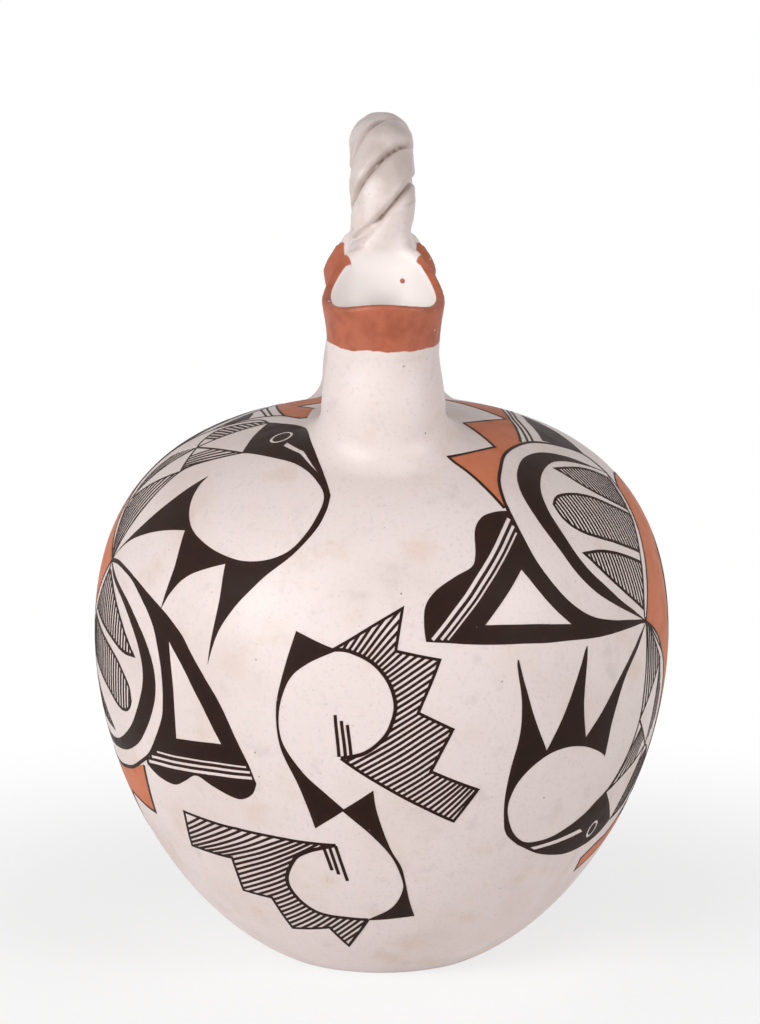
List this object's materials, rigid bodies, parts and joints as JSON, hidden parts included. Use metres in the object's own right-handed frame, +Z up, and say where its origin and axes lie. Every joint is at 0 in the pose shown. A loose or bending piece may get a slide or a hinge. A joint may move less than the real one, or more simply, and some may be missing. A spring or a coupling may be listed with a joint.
{
  "type": "two-spouted pueblo jar",
  "caption": "Round hand-built pottery jar with scooped spouts joined by a twisted bridge handle, white slip with black and rust painting.",
  "frame": {"origin": "centre of the foot, on the surface that the jar stands on", "axes": "+Z up along the body's axis; the spouts stand along Y, the front one at -Y; +X to the right in the picture"},
  "size_m": [0.204, 0.204, 0.2985],
  "materials": {
    "painted_wall": "burnished white slip painted in black and rust",
    "white_slip": "matte white slip",
    "rust_lip": "matte rust slip over the rim, white slip inside"
  },
  "bodies": {
    "root": {"moulded_base": "painted_wall", "wall_coil_1": "painted_wall", "wall_coil_2": "painted_wall", "wall_coil_3": "painted_wall", "wall_coil_4": "painted_wall", "wall_coil_5": "painted_wall", "wall_coil_6": "painted_wall", "wall_coil_7": "painted_wall", "wall_coil_8": "painted_wall", "crown": "painted_wall", "front_spout_collar": "white_slip", "front_spout_neck": "white_slip", "front_spout_lip": "rust_lip", "front_handle_root": "white_slip", "rear_spout_collar": "white_slip", "rear_spout_neck": "white_slip", "rear_spout_lip": "rust_lip", "rear_handle_root": "white_slip", "handle_strand_a": "white_slip", "handle_strand_b": "white_slip"}
  },
  "joints": []
}
